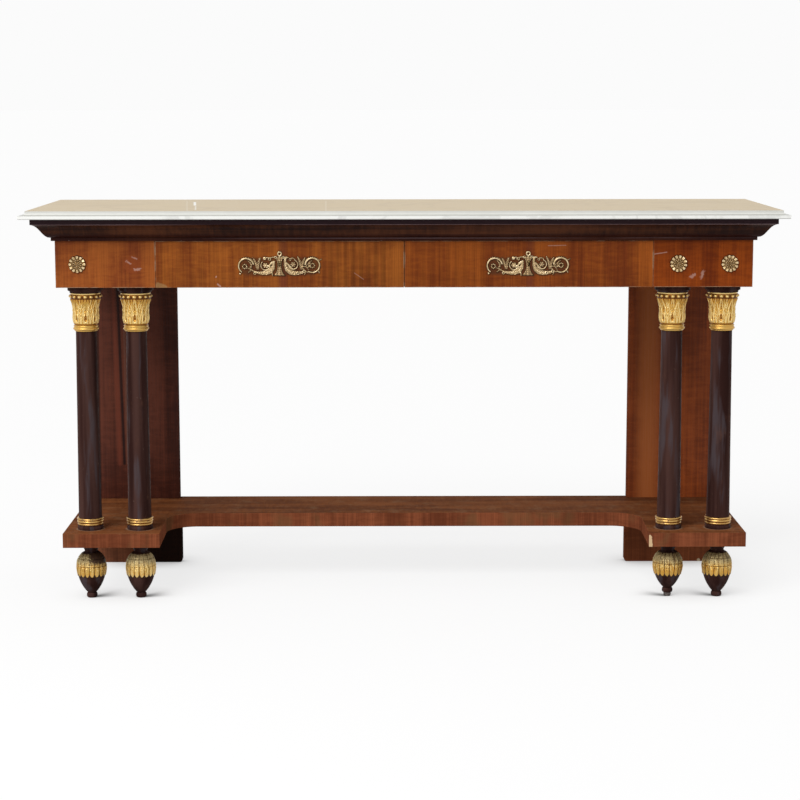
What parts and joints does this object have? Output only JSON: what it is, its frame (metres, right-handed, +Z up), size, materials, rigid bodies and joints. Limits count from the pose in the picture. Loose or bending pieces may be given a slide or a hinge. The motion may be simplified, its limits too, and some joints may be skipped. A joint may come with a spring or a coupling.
{
  "type": "pier table",
  "caption": "Long narrow wall table: marble slab on a dark cornice, mahogany frieze with drawers, paired columns with gilt capitals, cut-back shelf and acorn feet.",
  "frame": {"origin": "on the floor, under the middle of the marble top", "axes": "+Z up, -Y towards the front, +X to the right side seen from the front"},
  "size_m": [1.71, 0.53, 0.9],
  "materials": {
    "marble": "polished cream marble",
    "mahogany": "polished mahogany veneer with ribbon figure",
    "ebonised_wood": "ebonised and polished, worn to red-brown",
    "gilt_wood": "antique water gilding, worn and toned",
    "gilt_bronze": "aged gilt bronze",
    "softwood": "bare aged pine",
    "lock_steel": "dull iron with light rust",
    "lock_brass": "worn brass",
    "glide_iron": "dark worn iron"
  },
  "bodies": {
    "root": {"abaci": "ebonised_wood", "back_rail": "softwood", "base_discs": "ebonised_wood", "base_ring_left_inner": "gilt_wood", "base_ring_left_outer": "gilt_wood", "base_ring_right_inner": "gilt_wood", "base_ring_right_outer": "gilt_wood", "bottom_front_rail": "softwood", "capital_left_inner": "gilt_wood", "capital_left_outer": "gilt_wood", "capital_right_inner": "gilt_wood", "capital_right_outer": "gilt_wood", "cornice_front": "ebonised_wood", "cornice_left": "ebonised_wood", "cornice_right": "ebonised_wood", "drawer_divider": "softwood", "drawer_runners": "softwood", "end_block_left": "mahogany", "end_block_right": "mahogany", "foot_glide": "glide_iron", "foot_left_inner": "ebonised_wood", "foot_left_outer": "ebonised_wood", "foot_right_inner": "ebonised_wood", "foot_right_outer": "ebonised_wood", "leaf_collar_left_inner": "gilt_wood", "leaf_collar_left_outer": "gilt_wood", "leaf_collar_right_inner": "gilt_wood", "leaf_collar_right_outer": "gilt_wood", "marble_top": "marble", "platform_shelf": "mahogany", "rear_board_left": "mahogany", "rear_board_right": "mahogany", "rear_foot_left": "mahogany", "rear_foot_right": "mahogany", "rosettes": "gilt_bronze", "shaft_left_inner": "ebonised_wood", "shaft_left_outer": "ebonised_wood", "shaft_right_inner": "ebonised_wood", "shaft_right_outer": "ebonised_wood", "side_board_left": "mahogany", "side_board_right": "mahogany", "top_battens": "softwood", "top_front_rail": "softwood"},
    "left_drawer": {"left_drawer_back": "softwood", "left_drawer_bottom": "softwood", "left_drawer_front": "mahogany", "left_drawer_sides": "softwood", "left_lock_case": "lock_steel", "left_scroll_mount": "gilt_bronze"},
    "right_drawer": {"right_drawer_back": "softwood", "right_drawer_bottom": "softwood", "right_drawer_front": "mahogany", "right_drawer_sides": "softwood", "right_lock_case": "lock_steel", "right_scroll_mount": "gilt_bronze"},
    "left_lock_bolt": {"left_lock_bolt": "lock_brass"},
    "right_lock_bolt": {"right_lock_bolt": "lock_brass"}
  },
  "joints": [
    {"name": "left_drawer_slide", "type": "slide", "parent": "root", "child": "left_drawer", "axis": [0, -1, 0], "range_m": [0, 0.29]},
    {"name": "right_drawer_slide", "type": "slide", "parent": "root", "child": "right_drawer", "axis": [0, -1, 0], "range_m": [0, 0.29]},
    {"name": "left_bolt_throw", "type": "slide", "parent": "left_drawer", "child": "left_lock_bolt", "axis": [0, 0, 1], "range_m": [0, 0.007]},
    {"name": "right_bolt_throw", "type": "slide", "parent": "right_drawer", "child": "right_lock_bolt", "axis": [0, 0, 1], "range_m": [0, 0.007]}
  ]
}
